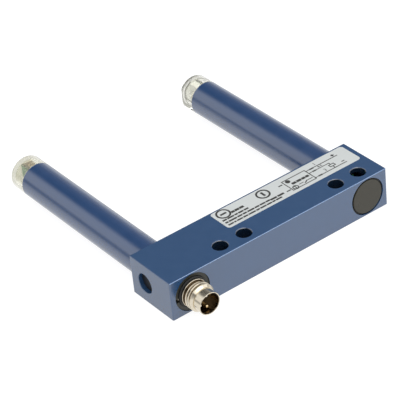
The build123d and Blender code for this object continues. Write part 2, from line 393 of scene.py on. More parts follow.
@dataclass(frozen=True)
class GrainedFinish(Finish):
    """A moulded or blasted surface: fine grain, and soft spots of colour and gloss."""

    grain: float = 0.12
    grain_depth: float = 0.004
    spot: float = 3.0
    spot_share: float = 0.08
    gloss_share: float = 0.1

    def vary(self, bench: NodeBench) -> Looks:
        """Makes the grain, the spots and the painted shade in the recesses.

        Args:
            bench: The material's nodes.

        Returns:
            Links, by socket.
        """
        spots = bench.noise(self.spot, 3.0)
        fine = bench.noise(self.grain)
        dark, light = self.shade(1 - self.spot_share), self.shade(1 + self.spot_share)
        return {
            "Base Color": self.add_painted_shade(bench, bench.blend(spots, dark, light)),
            "Roughness": (fine + spots - 1.0) * self.gloss_share + self.roughness,
            "Normal": bench.bump(fine, self.grain_depth),
        }


@dataclass(frozen=True)
class DrilledFinish(GrainedFinish):
    """The block's anodising, with painted shade in the screw holes and a painted highlight along
    the front top edge.
    """

    row: Pair = (6.65, -4.65)
    pair_middle: float = 20.0
    pair_half: float = 4.0
    wall_radius: float = 2.3
    wall_top: float = 11.9
    wall_share: float = 0.85
    # A painted highlight: a lighter blue on the front top chamfer.
    painted_highlight_edge: Pair = (-8.62, 11.87)
    painted_highlight_colour: Colour = (0.17, 0.30, 0.55)

    def vary(self, bench: NodeBench) -> Looks:
        """Adds the painted highlight, a bright line along the front top edge.

        Args:
            bench: The material's nodes.

        Returns:
            Links, by socket.
        """
        looks = super().vary(bench)
        _, y, z = bench.axes()
        front, top = self.painted_highlight_edge
        # Painted highlight along the front top chamfer.
        painted_highlight = (y < front * MM) * (z > top * MM)
        looks["Base Color"] = bench.blend(painted_highlight, looks["Base Color"], self.painted_highlight_colour)
        return looks

    def painted_shade(self, bench: NodeBench) -> Optional[Signal]:
        """Folds the four holes on one another and picks what lies inside their walls, where shade
        is painted.

        Args:
            bench: The material's nodes.

        Returns:
            The share of the painted shade colour.
        """
        x, y, z = bench.axes()
        # Painted shade: the walls of the screw holes are darkened.
        across = abs(abs(x - self.row[0] * MM) - self.pair_middle * MM) - self.pair_half * MM
        inside = reach_squared(across, y - self.row[1] * MM) < radius_squared(self.wall_radius)
        return inside * (z < self.wall_top * MM) * self.wall_share


@dataclass(frozen=True)
class ArmFinish(GrainedFinish):
    """The arms' anodising, with a thin line of painted shade where the tip is cut."""

    cut_y: float = 63.52
    cut_share: float = 0.8

    def painted_shade(self, bench: NodeBench) -> Optional[Signal]:
        """Picks the last edge of the arm, where a thin line of shade is painted."""
        # Painted shade along the tip's cut edge.
        return (bench.axes()[1] > self.cut_y * MM) * self.cut_share


@dataclass(frozen=True)
class TurnedMetal(Finish):
    """Plated metal with the fine rings that a lathe leaves round an axis along Y."""

    # Painted brown shade for the plug's hollows.
    painted_shade_colour: Colour = (0.25, 0.20, 0.14)
    ring_width: float = 0.09
    ring_depth: float = 0.002
    smudge: float = 1.2
    smudge_share: float = 0.06
    smudge_shade: float = 0.93

    def vary(self, bench: NodeBench) -> Looks:
        """Makes the rings, the smudges and the painted shade in the recesses.

        Args:
            bench: The material's nodes.

        Returns:
            Links, by socket.
        """
        rings = bench.noise(self.ring_width, 1.0, (60, 1, 60))
        smudges = bench.noise(self.smudge, 3.0)
        plating = bench.blend(smudges, self.shade(self.smudge_shade), self.colour)
        return {
            "Base Color": self.add_painted_shade(bench, plating),
            "Roughness": (smudges - 0.5) * self.smudge_share + self.roughness,
            "Normal": bench.bump(rings, self.ring_depth),
        }


@dataclass(frozen=True)
class PlugMetal(TurnedMetal):
    """The plug's plating, with painted brown shade in the bore, between the thread's crests and at
    its foot.
    """

    axis: Pair = (-30.25, AXIS_HEIGHT)
    bore: Pair = (3.16, -15.6)
    thread: Pair = (-12.75, -10.15)
    groove: Pair = (3.93, 3.60)
    groove_height: Pair = (4.5, 8.0)
    groove_share: Pair = (0.2, 0.7)
    foot: Triple = (-10.15, -9.3, 3.92)

    def painted_shade(self, bench: NodeBench) -> Optional[Signal]:
        """Picks the places of painted shade by their distance from the axis and along it.

        Args:
            bench: The material's nodes.

        Returns:
            The share of the painted shade.
        """
        x, y, z = bench.axes()
        reach = reach_squared(x - self.axis[0] * MM, z - self.axis[1] * MM)
        radius, start = self.bore
        bore = (reach < radius_squared(radius)) * (y > start * MM)
        turns = y.between(*self.thread) * reach.ramp(*map(radius_squared, self.groove))
        floor, top = (height * MM for height in self.groove_height)
        least, more = self.groove_share
        turns = turns * (z.ramp(floor, top) * more + least)
        front, back, lip = self.foot
        foot = y.between(front, back) * (reach < radius_squared(lip))
        return bore.most(turns).most(foot)


@dataclass(frozen=True)
class ClearFinish(Finish):
    """Clear moulded plastic with a slight milky haze."""

    clearness: float = 0.8
    gloss: float = 0.6
    gloss_roughness: float = 0.05
    wave: float = 2.5
    wave_depth: float = 0.01

    def constants(self) -> Looks:
        """The values of a plastic that lets light through, under a glossy skin."""
        return {
            **super().constants(),
            "Transmission Weight": self.clearness,
            "Coat Weight": self.gloss,
            "Coat Roughness": self.gloss_roughness,
        }

    def vary(self, bench: NodeBench) -> Looks:
        """Makes the faint waves of a moulded surface."""
        return {"Normal": bench.bump(bench.noise(self.wave), self.wave_depth, 0.5)}


@dataclass(frozen=True)
class RingedClear(ClearFinish):
    """Clear plastic, with painted grey shade in its thick end edge and a painted dark arc of shade
    round the cavity's end.
    """

    axis: Pair = (30.25, AXIS_HEIGHT)
    ring: Pair = (2.9, 3.75)
    depth: Pair = (68.5, 69.3)
    arc_end: float = 29.4
    # Painted shade: a dark arc round the cavity's end, and a grey for the thick end edge.
    painted_arc_shade: Colour = (0.15, 0.145, 0.11)
    edge: Pair = (3.8, 69.3)
    edge_colour: Colour = (0.26, 0.26, 0.21)

    def vary(self, bench: NodeBench) -> Looks:
        """Adds the painted shade of the edge and of the arc.

        Args:
            bench: The material's nodes.

        Returns:
            Links, by socket.
        """
        looks = super().vary(bench)
        x, y, z = bench.axes()
        reach = reach_squared(x - self.axis[0] * MM, z - self.axis[1] * MM)
        inner, outer = map(radius_squared, self.ring)
        # Painted shade: the arc, and the cap's thick end edge.
        arc = (reach > inner) * (reach < outer) * y.between(*self.depth) * (x < self.arc_end * MM)
        radius, start = self.edge
        edge = (reach > radius_squared(radius)) * (y > start * MM)
        tone = bench.blend(edge, self.colour, self.edge_colour)
        looks["Base Color"] = bench.blend(arc, tone, self.painted_arc_shade)
        return looks


@dataclass(frozen=True)
class FoilFinish(Finish):
    """Silver polyester foil with a faint brushed streak along X."""

    streak: float = 0.15
    streak_length: float = 40.0
    cloud: float = 4.0
    shades: Pair = (0.95, 1.04)
    gloss_share: float = 0.15

    def vary(self, bench: NodeBench) -> Looks:
        """Makes the streaks and soft clouds.

        Args:
            bench: The material's nodes.

        Returns:
            Links, by socket.
        """
        streaks = bench.noise(self.streak, stretch=(self.streak_length, 1, 1))
        clouds = bench.noise(self.cloud)
        return {
            "Base Color": bench.blend((streaks + clouds) * 0.5, *map(self.shade, self.shades)),
            "Roughness": (streaks - 0.5) * self.gloss_share + self.roughness,
        }


@dataclass(frozen=True)
class BoardFinish(Finish):
    """Green solder resist over copper tracks that run along the board, with bare cut edges."""

    track_colour: Colour = (0.10, 0.30, 0.10)
    edge_colour: Colour = (0.075, 0.075, 0.045)
    half_height: float = 3.15
    tracks_per_mm: float = 0.35
    track_edge: float = 0.8
    track_share: float = 0.7
    track_depth: float = 0.03
    weave: float = 0.3
    weave_share: float = 0.2

    def vary(self, bench: NodeBench) -> Looks:
        """Makes the tracks, the weave under the resist and the bare edges.

        Args:
            bench: The material's nodes.

        Returns:
            Links, by socket.
        """
        _, _, z = bench.axes()
        edge = abs(z - AXIS_HEIGHT * MM) > self.half_height * MM
        inputs = {"Vector": bench.place(), "Scale": self.tracks_per_mm / MM, "Distortion": 0.0}
        lanes = bench.add("TexWave", {"bands_direction": "Z"}, inputs)
        tracks = Signal(bench, lanes.outputs["Fac"]) > self.track_edge
        share = tracks * self.track_share + bench.noise(self.weave, 1.0) * self.weave_share
        tone = bench.blend(share, self.colour, self.track_colour)
        return {
            "Base Color": bench.blend(edge, tone, self.edge_colour),
            "Normal": bench.bump(tracks, self.track_depth),
        }


@dataclass(frozen=True)
class LayeredFinish(Finish):
    """A grained body between two outer layers: an epoxy body and its legs, or three wires."""

    half_height: float = 2.0
    upper: Colour = (0.75, 0.74, 0.72)
    lower: Colour = (0.75, 0.74, 0.72)
    outer_metal: float = 1.0
    outer_polish: float = 0.25
    grain: float = 0.15
    grain_depth: float = 0.004
    shades: Pair = (0.8, 1.2)

    def vary(self, bench: NodeBench) -> Looks:
        """Tells the layers apart by their height, and makes the grain.

        Args:
            bench: The material's nodes.

        Returns:
            Links, by socket.
        """
        _, _, z = bench.axes()
        above = z > (AXIS_HEIGHT + self.half_height) * MM
        below = z < (AXIS_HEIGHT - self.half_height) * MM
        grain = bench.noise(self.grain)
        body = bench.blend(grain, *map(self.shade, self.shades))
        outer = above + below
        return {
            "Base Color": bench.blend(below, bench.blend(above, body, self.upper), self.lower),
            "Metallic": outer * self.outer_metal,
            "Roughness": outer * -self.outer_polish + self.roughness,
            "Normal": bench.bump(grain, self.grain_depth),
        }


ANODISED = {"ior": 2.05, "grain": 0.10, "grain_depth": 0.002, "spot_share": 0.05}
CLEAR = ClearFinish("clear_cap", (0.84, 0.83, 0.73), 0.05, ior=1.16, clearness=0.9)
DEEP_CLEAR = RingedClear("clear_cap_deep", (0.89, 0.89, 0.83), 0.05, ior=1.19, clearness=0.90)
NICKEL = PlugMetal("nickel", (0.75, 0.68, 0.55), 0.18, metallic=1.0)
FOIL = FoilFinish("label_foil", (0.59, 0.617, 0.615), 0.45)
INK = GrainedFinish("label_ink", (0.030, 0.030, 0.028), 0.5, grain_depth=0.001)
RUBBER = GrainedFinish("black_rubber", (0.012, 0.012, 0.012), 0.6, grain=0.2, grain_depth=0.01)
WIRE = LayeredFinish(
    "wire_insulation", (0.02, 0.05, 0.22), 0.4, half_height=0.6, upper=(0.16, 0.07, 0.03),
    lower=(0.02, 0.02, 0.02), outer_metal=0.0, outer_polish=0.0, grain=0.4, shades=(0.9, 1.1),
)
DRESS = {
    ("housing_block",): DrilledFinish(
        "anodised_blue", (0.0175, 0.066, 0.168), 0.20, **ANODISED
    ),
    # The arms' blue is a darker copy of the block's blue: painted shade for the weaker light on the
    # arms.
    ("left_tube", "right_tube"): ArmFinish(
        "anodised_blue_arm_painted_shade", (0.0148, 0.054, 0.156), 0.19, **ANODISED
    ),
    ("contact_pin_3",): TurnedMetal("contact_gold", (0.93, 0.72, 0.42), 0.2, metallic=1.0),
    # Pins 1 and 4 get a dark copy of the gold: painted shade, as they lie in the shadow of the
    # bore.
    ("contact_pin_1", "contact_pin_4"): TurnedMetal(
        "contact_gold_painted_shade", (0.16, 0.09, 0.02), 0.35, metallic=1.0
    ),
    ("connector_insert",): GrainedFinish("insert_plastic", (0.44, 0.36, 0.24), 0.4),
    ("connector_carrier",): GrainedFinish("black_plastic", (0.028, 0.028, 0.020), 0.42),
    ("channel_plug",): GrainedFinish("channel_black", (0.006, 0.008, 0.014), 0.5, ior=1.3),
    ("connector_seal", "plug_seal"): RUBBER,
    ("bore_plug",): GrainedFinish("grey_plastic", (0.032, 0.029, 0.018), 0.3),
    ("emitter_board", "receiver_board", "connector_board"): BoardFinish(
        "board_green", (0.015, 0.17, 0.07), 0.35
    ),
    ("emitter_holder",): GrainedFinish("holder_brown", (0.25, 0.19, 0.125), 0.45),
    ("receiver_holder",): GrainedFinish("holder_white", (0.97, 0.96, 0.93), 0.45),
    ("emitter_diode", "receiver_diode"): GrainedFinish(
        "diode_epoxy", (0.80, 0.78, 0.70), 0.15, grain_depth=0.001
    ),
    ("driver_chip", "amplifier_chip"): LayeredFinish("chip_black", (0.02, 0.02, 0.02), 0.5),
    ("regulator",): LayeredFinish("regulator_black", (0.02, 0.02, 0.02), 0.5),
    ("emitter_resistors", "receiver_resistors"): LayeredFinish(
        "resistor_black", (0.02, 0.02, 0.022), 0.4, half_height=0.7
    ),
    ("supply_capacitor",): GrainedFinish("capacitor_yellow", (0.62, 0.36, 0.04), 0.4),
    ("link_wires",): WIRE,
}


def new_object(name: str, data: bpy.types.ID) -> Piece:
    """Makes an object and puts it in the scene.

    Args:
        name: Its name.
        data: Its mesh, curve, lamp or camera.

    Returns:
        The object.
    """
    made = bpy.data.objects.new(name, data)
    bpy.context.scene.collection.objects.link(made)
    return made


def way_to(azimuth: float, elevation: float) -> Vector:
    """Turns two angles round the object into a way.

    Args:
        azimuth: Degrees from +Y towards +X.
        elevation: Degrees above the table.

    Returns:
        The way, one long.
    """
    turn, rise = math.radians(azimuth), math.radians(elevation)
    level = math.cos(rise)
    return Vector((math.sin(turn) * level, math.cos(turn) * level, math.sin(rise)))


def edges_of(verts: Points) -> list[bmesh.types.BMEdge]:
    """The edges that meet in some points, each once and always in the same order."""
    return list(dict.fromkeys(edge for vert in verts for edge in vert.link_edges))


@dataclass
class Sculpt:
    """A bmesh in metres, with the few operations that the pieces share."""

    mesh: bmesh.types.BMesh = field(default_factory=bmesh.new)

    def spin(self, outline: Sequence[Pair], steps: int, centre: Vector) -> None:
        """Turns an outline about an axis along Y.

        Args:
            outline: Pairs of radius and Y in millimetres; the loop is closed by itself unless it
                starts and ends on the axis.
            steps: How many flats the turn has.
            centre: A point on the axis, in metres.
        """
        points = [Vector((centre.x + radius * MM, y * MM, centre.z)) for radius, y in outline]
        verts = [self.mesh.verts.new(point) for point in points]
        pairs = list(zip(verts, verts[1:]))
        if outline[0][0] > 0:
            pairs.append((verts[-1], verts[0]))
        edges = [self.mesh.edges.new(pair) for pair in pairs]
        bmesh.ops.spin(
            self.mesh, geom=[*verts, *edges], cent=centre, axis=(0, 1, 0), angle=math.tau,
            steps=steps, use_merge=True,
        )
        self.weld()

    def weld(self) -> None:
        """Merges doubled points and turns the faces outwards."""
        bmesh.ops.remove_doubles(self.mesh, verts=self.mesh.verts, dist=1e-7)
        bmesh.ops.recalc_face_normals(self.mesh, faces=self.mesh.faces)

    def bevel(self, edges: Sequence[bmesh.types.BMEdge], width: float, segments: int) -> None:
        """Rounds or breaks edges.

        Args:
            edges: The edges.
            width: How far the bevel reaches, in millimetres.
            segments: How many flats it has.
        """
        bmesh.ops.bevel(
            self.mesh, geom=list(edges), offset=width * MM, offset_type="OFFSET", affect="EDGES",
            segments=segments, profile=0.5, material=-1,
        )

    def slice(self, point: Vector, normal: Vector, close: bool = True) -> None:
        """Cuts off what lies on the normal's side of a plane.

        Args:
            point: A point on the plane, in metres.
            normal: The plane's normal.
            close: Whether the cut is closed with a face.
        """
        geom = [*self.mesh.verts, *self.mesh.edges, *self.mesh.faces]
        cut = bmesh.ops.bisect_plane(
            self.mesh, geom=geom, plane_co=point, plane_no=normal, clear_outer=True
        )
        edges = [item for item in cut["geom_cut"] if isinstance(item, bmesh.types.BMEdge)]
        if close:
            bmesh.ops.holes_fill(self.mesh, edges=edges, sides=0)

    def finish(self, name: str, material: bpy.types.Material, sharp: float = 30.0) -> Piece:
        """Makes the object.

        Args:
            name: The piece's name.
            material: Its material.
            sharp: Edges steeper than this stay sharp, in degrees.

        Returns:
            The object, smooth between its sharp edges.
        """
        for face in self.mesh.faces:
            face.smooth = True
        for edge in self.mesh.edges:
            edge.smooth = edge.calc_face_angle(math.pi) < math.radians(sharp)
        data = bpy.data.meshes.new(name)
        self.mesh.to_mesh(data)
        self.mesh.free()
        data.materials.append(material)
        return new_object(name, data)


def dress(nodes: dict[str, Piece]) -> None:
    """Puts the finishes on the CAD nodes that stay.

    Args:
        nodes: All CAD nodes, by name.
    """
    for names, finish in DRESS.items():
        for name in names:
            slots = nodes[name].data.materials
            slots.clear()
            slots.append(finish.material())
            LOG.info("dressed %s in %s", name, finish.name)


@dataclass
class EndCap:
    """A clear cap in an arm's tip, with a flat window towards the other arm."""

    side: Side
    plastic: ClearFinish
    window_distance: float = 4.2
    edge_radius: float = 0.7
    edge_steps: int = 8
    spigot_radius: float = 4.2
    cavity_radius: float = 3.6
    end_wall: float = 0.8
    steps: int = 128

    def build(self) -> Piece:
        """Makes the cap in the place of its CAD solid.

        Returns:
            The cap.
        """
        node = f"{self.side.name.lower()}_end_cap"
        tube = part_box(f"{self.side.name.lower()}_tube")
        low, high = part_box(node)
        centre = Vector(((tube[0][0] + tube[1][0]) / 2, 0, (tube[0][2] + tube[1][2]) / 2))
        radius = (tube[1][0] - tube[0][0]) / 2 / MM
        foot, rim, tip = low[1] / MM, tube[1][1] / MM, high[1] / MM
        outline = [(0, tip - self.end_wall), (self.cavity_radius, tip - self.end_wall)]
        outline += [(self.cavity_radius, foot), (self.spigot_radius, foot)]
        outline += [(self.spigot_radius, rim), (radius, rim)]
        for step in range(self.edge_steps + 1):
            turn = math.radians(90 * step / self.edge_steps)
            across = radius - self.edge_radius * (1 - math.cos(turn))
            along = tip - self.edge_radius * (1 - math.sin(turn))
            outline.append((across, along))
        outline.append((0, tip))
        sculpt = Sculpt()
        sculpt.spin(outline, self.steps, centre)
        toward_gap = Vector((-self.side.value, 0, 0))
        sculpt.slice(centre + toward_gap * self.window_distance * MM, toward_gap)
        cap = sculpt.finish(f"clear_{node}", self.plastic.material())
        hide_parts(node)
        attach(cap, "root")
        return cap


@dataclass
class PlugShell:
    """The plug's nickel body: nose, plain collar, thread, seal groove, flange and tail."""

    pitch: float = 1.0
    crest_radius: float = 4.0
    root_radius: float = 3.46
    crest_flat: float = 0.16
    root_flat: float = 0.20
    runout_slope: float = 1.2
    core_gap: float = 0.02
    core_start: float = 0.3
    nose_radius: float = 3.3
    nose_break: float = 0.08
    bore_radius: float = 3.05
    nose_length: float = 2.65
    shoulder_length: float = 0.6
    shoulder_step: float = 0.2
    thread_foot: float = -10.15
    collar: Pair = (-9.6, -9.25)
    edge_break: float = 0.15
    groove_radius: float = 3.6
    flange: Triple = (-8.3, -7.3, 4.55)
    flange_break: float = 0.1
    tail_radius: float = 3.5
    key_angles: Pair = (104.0, 164.0)
    key_size: Triple = (0.55, 0.35, 3.0)
    key_root: float = 0.1
    key_inset: float = 0.1
    key_round: float = 0.05
    steps: int = 128

    def __post_init__(self) -> None:
        """Measures the solid that the shell replaces, and starts the mesh."""
        low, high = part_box("connector_shell")
        self.centre = Vector(((low[0] + high[0]) / 2, 0, (low[2] + high[2]) / 2))
        self.rim, self.tail = low[1] / MM, high[1] / MM
        self.thread_start = self.rim + self.nose_length + self.shoulder_length
        self.sculpt = Sculpt()

    def _core(self) -> None:
        """Turns everything but the thread."""
        rim, tail, soft = self.rim, self.tail, self.nose_break
        step_y = rim + self.nose_length
        ring_front, ring_back = self.collar
        front, back, lip = self.flange
        core, crest = self.root_radius - self.core_gap, self.crest_radius
        outline = [
            (self.bore_radius, rim + soft), (self.bore_radius + soft, rim),
            (self.nose_radius - soft, rim), (self.nose_radius, rim + soft),
            (self.nose_radius, step_y), (self.nose_radius + self.shoulder_step, step_y),
            (crest, self.thread_start), (core, self.thread_start + self.core_start),
            (core, ring_front), (crest - self.edge_break, ring_front),
            (crest, ring_front + self.edge_break), (crest, ring_back - self.edge_break),
            (crest - self.edge_break, ring_back), (self.groove_radius, ring_back),
            (self.groove_radius, front), (lip - self.flange_break, front),
            (lip, front + self.flange_break), (lip, back),
            (self.tail_radius, back), (self.tail_radius, tail), (self.bore_radius, tail),
        ]
        self.sculpt.spin(outline, self.steps, self.centre)

    def _thread(self) -> None:
        """Winds the thread from the cone to its foot."""
        start, end, centre = self.thread_start, self.thread_foot, self.centre
        crest_y = self.root_flat + (self.pitch - self.crest_flat - self.root_flat) / 2
        tooth = [
            (self.root_radius, 0.0), (self.root_radius, self.root_flat),
            (self.crest_radius, crest_y), (self.crest_radius, crest_y + self.crest_flat),
            (self.root_radius, self.pitch),
        ]
        turns = math.ceil((end - start) / self.pitch) + 2
        low = start - self.pitch
        helix = Sculpt()
        verts = [
            helix.mesh.verts.new((centre.x + radius * MM, (low + y) * MM, centre.z))
            for radius, y in tooth
        ]
        edges = [helix.mesh.edges.new(pair) for pair in zip(verts, verts[1:])]
        bmesh.ops.spin(
            helix.mesh, geom=[*verts, *edges], cent=centre, axis=(0, 1, 0),
            dvec=Vector((0, self.pitch * MM / self.steps, 0)), angle=math.tau * turns,
            steps=self.steps * turns, use_merge=False,
        )
        helix.weld()
        for plane_y, way in ((start, -1), (end, 1)):
            helix.slice(Vector((0, plane_y * MM, 0)), Vector((0, way, 0)), close=False)
        for vert in helix.mesh.verts:
            self._break_end(vert)
        data = bpy.data.meshes.new("thread")
        helix.mesh.to_mesh(data)
        helix.mesh.free()
        self.sculpt.mesh.from_mesh(data)
        bpy.data.meshes.remove(data)

    def _break_end(self, vert: bmesh.types.BMVert) -> None:
        """Draws the thread's last crest in to the root, as its end is broken.

        Args:
            vert: A point of the thread.
        """
        arm = Vector((vert.co.x - self.centre.x, 0, vert.co.z - self.centre.z))
        rise = max(0.0, self.thread_foot - vert.co.y / MM) * self.runout_slope
        limit = (self.root_radius + rise) * MM
        if arm.length > limit:
            arm *= limit / arm.length
            vert.co = Vector((self.centre.x + arm.x, vert.co.y, self.centre.z + arm.z))

    def _keys(self) -> None:
        """Adds the two key ribs in the nose."""
        width, height, length = (size * MM for size in self.key_size)
        root = self.key_root * MM
        out = self.bore_radius * MM + root / 2 - height / 2
        along = (self.rim + self.key_inset) * MM + length / 2
        size = Matrix.Diagonal((height + root, length, width, 1))
        for angle in self.key_angles:
            turn = Matrix.Rotation(-math.radians(angle), 4, "Y")
            place = Matrix.Translation(self.centre) @ turn @ Matrix.Translation((out, along, 0))
            rib = bmesh.ops.create_cube(self.sculpt.mesh, size=1.0, matrix=place @ size)
            self.sculpt.bevel(edges_of(rib["verts"]), self.key_round, 2)

    def build(self) -> Piece:
        """Makes the shell in the place of its CAD solid.

        Returns:
            The shell.
        """
        self._core()
        self._keys()
        self._thread()
        shell = self.sculpt.finish("threaded_connector_shell", NICKEL.material(), 25.0)
        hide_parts("connector_shell")
        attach(shell, "root")
        return shell


@dataclass(frozen=True)
class Mark:
    """One printed shape: its centre, its length and width, its turn and its line width."""

    kind: MarkKind
    x: float
    y: float
    length: float = 0.0
    width: float = 0.0
    turn: float = 0.0
    line: float = 0.12
    number: str = ""


def bars(*places: Sequence[float]) -> list[Mark]:
    """Bars that stand for lines and for single words.

    Args:
        places: X, Y, length and width of each, and its turn where it leans.

    Returns:
        The bars.
    """
    return [Mark(MarkKind.BAR, *place) for place in places]


def row(x: float, y: float, words: Sequence[float], height: float, gap: float = 0.35) -> list[Mark]:
    """A row of bars that stands for a line of print.

    Args:
        x: Where the row starts.
        y: Its middle.
        words: The bars' lengths.
        height: Their height.
        gap: The space between two bars.

    Returns:
        The bars.
    """
    marks = []
    for length in words:
        marks.append(Mark(MarkKind.BAR, x + length / 2, y, length, height))
        x += length + gap
    return marks


@dataclass
class RatingLabel:
    """The foil label: its sheet, and a plain print of bars, rings, lines and pin numbers."""

    corner_radius: float = 1.0
    corner_steps: int = 10
    edge_width: float = 0.18
    edge_fall: float = 0.6
    print_height: float = 0.012
    ink_spread: float = 0.13
    figure_scale: float = 1.4
    ring_steps: int = 48
    disc_steps: int = 32

    def __post_init__(self) -> None:
        """Measures the label's solid, starts the print's mesh and lists the print."""
        low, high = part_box("rating_label")
        self.rise = self.print_height * MM
        self.low, self.high = Vector(low), Vector(high) - Vector((0, 0, self.rise))
        self.ink = Sculpt()
        _, ring, disc, frame, number = MarkKind
        self.marks = [
            Mark(ring, -8, 5.85, 1.9, line=0.4),
            *bars((-8, 5.85, 1.9, 0.55)),
            Mark(ring, 5.4, 5.45, 1.85, line=0.42),
            *bars((5.4, 5.45, 0.55, 1.9)),
            *row(-6, 4.85, (1.0, 1.3, 1.3), 0.75, 0.25),
            *row(-10.15, 3.3, (1.3, 2.1, 0.9, 1.6, 1.4), 0.5),
            *row(-10.15, 2.05, (0.8, 2.6, 1.5, 1.2, 2.2, 1.4, 1.7, 1.3), 0.5),
            *row(5.2, 1.85, (2.1, 2.1), 0.6),
            *row(-10.15, 0.8, (1.7, 0.5, 1.9, 1.4, 2.3, 1.1, 1.9, 1.6, 0.9, 1.9), 0.45),
            *row(14.15, 3.55, (1.3, 1.5, 1.1, 1.0), 0.8, 0.3),
            *bars((11.25, 5.1, 1.2, 0.3), (11.45, 1.7, 1.3, 0.3)),
            Mark(frame, 16.55, 3.55, 8.1, 5.2, line=0.16),
            Mark(disc, 13.9, 5.2, 0.75),
            Mark(ring, 13.85, 1.65, 0.8, line=0.22),
            *bars(
                (13.85, 1.65, 0.2, 1.3), (16.15, 2.05, 1.4, 0.14), (17.65, 1.8, 1.35, 0.22, 30.0),
                (19.25, 2.05, 1.7, 0.14), (22.5, 5.45, 1.35, 0.42), (22.45, 4.1, 1.2, 0.42),
                (22.45, 1.3, 1.35, 0.42), (21.05, 5.45, 1.1, 0.12), (21.05, 4.1, 1.1, 0.12),
                (21.05, 1.3, 1.1, 0.12), (27.6, 5.5, 8.7, 0.16), (25.4, 4.1, 4.8, 0.14),
                (24.65, 4.8, 0.5, 0.3, -60.0), (27.7, 3.65, 0.14, 0.95),
            ),
            Mark(frame, 27.8, 2.8, 1.7, 0.95, line=0.16),
            *bars(
                (27.7, 1.75, 0.14, 1.1), (27.6, 1.25, 8.4, 0.16), (30.9, 6.35, 0.9, 0.25),
                (30.9, 6.35, 0.25, 0.9), (31.25, 2.2, 0.9, 0.2),
            ),
            Mark(number, 24.55, 6.55, 1.25, number="1"),
            Mark(number, 25.45, 4.8, 1.0, number="4"),
            Mark(number, 24.95, 2.25, 1.25, number="3"),
        ]

    def _sheet(self) -> Piece:
        """Makes the foil, with rounded corners and a soft edge, just under the print.

        Returns:
            The foil.
        """
        size = self.high - self.low
        sculpt = Sculpt()
        place = Matrix.Translation((self.low + self.high) / 2) @ Matrix.Diagonal((*size, 1))
        bmesh.ops.create_cube(sculpt.mesh, size=1.0, matrix=place)
        ends = [(edge, edge.verts[0].co - edge.verts[1].co) for edge in sculpt.mesh.edges]
        upright = [edge for edge, way in ends if abs(way.z) > size.z / 2]
        sculpt.bevel(upright, self.corner_radius, self.corner_steps)
        top = [face for face in sculpt.mesh.faces if face.normal.z > 0.9]
        inner = bmesh.ops.inset_region(
            sculpt.mesh, faces=top, thickness=self.edge_width * MM, depth=0, use_even_offset=True
        )
        kept = {vert for face in top for vert in face.verts}
        rim = [vert for face in inner["faces"] for vert in face.verts if vert not in kept]
        fall = (0, 0, -size.z * self.edge_fall)
        bmesh.ops.translate(sculpt.mesh, verts=list(dict.fromkeys(rim)), vec=fall)
        return sculpt.finish("foil_rating_label", FOIL.material(), 8.0)

    def _bar(self, length: float, width: float, x: float = 0.0, y: float = 0.0) -> Points:
        """Adds a bar that lies flat.

        Args:
            length: Its size along X, in millimetres, as all the rest.
            width: Its size along Y.
            x: Its middle along X.
            y: Its middle along Y.

        Returns:
            Its points.
        """
        spread = self.ink_spread
        size = Matrix.Diagonal(((length + spread) * MM, (width + spread) * MM, self.rise, 1))
        place = Matrix.Translation((x * MM, y * MM, self.rise / 2)) @ size
        return bmesh.ops.create_cube(self.ink.mesh, size=1.0, matrix=place)["verts"]

    def _ring(self, mark: Mark) -> Points:
        """Adds a ring that lies flat at the origin.

        Args:
            mark: The ring; its length is the radius of its middle line.

        Returns:
            Its points.
        """
        mesh, edges = self.ink.mesh, []
        before = set(mesh.verts)
        half = (mark.line + self.ink_spread) / 2
        for radius in (mark.length - half, mark.length + half):
            made = bmesh.ops.create_circle(
                mesh, cap_ends=False, radius=radius * MM, segments=self.ring_steps
            )
            edges += edges_of(made["verts"])
        faces = bmesh.ops.bridge_loops(mesh, edges=edges)["faces"]
        raised = bmesh.ops.extrude_face_region(mesh, geom=faces)["geom"]
        lifted = [item for item in raised if isinstance(item, bmesh.types.BMVert)]
        bmesh.ops.translate(mesh, verts=lifted, vec=(0, 0, self.rise))
        return [vert for vert in mesh.verts if vert not in before]

    def _disc(self, mark: Mark) -> Points:
        """Adds a disc that lies flat at the origin.

        Args:
            mark: The disc; its length is its radius.

        Returns:
            Its points.
        """
        radius = mark.length * MM
        place = Matrix.Translation((0, 0, self.rise / 2))
        return bmesh.ops.create_cone(
            self.ink.mesh, cap_ends=True, segments=self.disc_steps, radius1=radius,
            radius2=radius, depth=self.rise, matrix=place,
        )["verts"]

    def _frame(self, mark: Mark) -> Points:
        """Adds the four sides of a frame that lies flat at the origin.

        Args:
            mark: The frame; its length and width are those of its middle line.

        Returns:
            Its points.
        """
        upright = mark.width - mark.line - 2 * self.ink_spread
        verts = []
        for side in (-0.5, 0.5):
            verts += self._bar(mark.length + mark.line, mark.line, y=side * mark.width)
            verts += self._bar(mark.line, upright, x=side * mark.length)
        return verts

    def _number(self, mark: Mark) -> Points:
        """Adds a plain pin number.

        Args:
            mark: The number; its length is the figure's height.

        Returns:
            Its points.
        """
        curve = bpy.data.curves.new("pin_number", "FONT")
        curve.body = mark.number
        curve.size = mark.length * self.figure_scale * MM
        curve.align_x, curve.align_y = "CENTER", "CENTER"
        curve.extrude = self.rise / 2
        curve.resolution_u = 3
        holder = new_object("pin_number", curve)
        graph = bpy.context.evaluated_depsgraph_get()
        data = bpy.data.meshes.new_from_object(holder.evaluated_get(graph))
        mesh = self.ink.mesh
        before = set(mesh.verts)
        mesh.from_mesh(data)
        bpy.data.objects.remove(holder)
        bpy.data.curves.remove(curve)
        bpy.data.meshes.remove(data)
        made = [vert for vert in mesh.verts if vert not in before]
        bmesh.ops.translate(mesh, verts=made, vec=(0, 0, self.rise / 2))
        return made

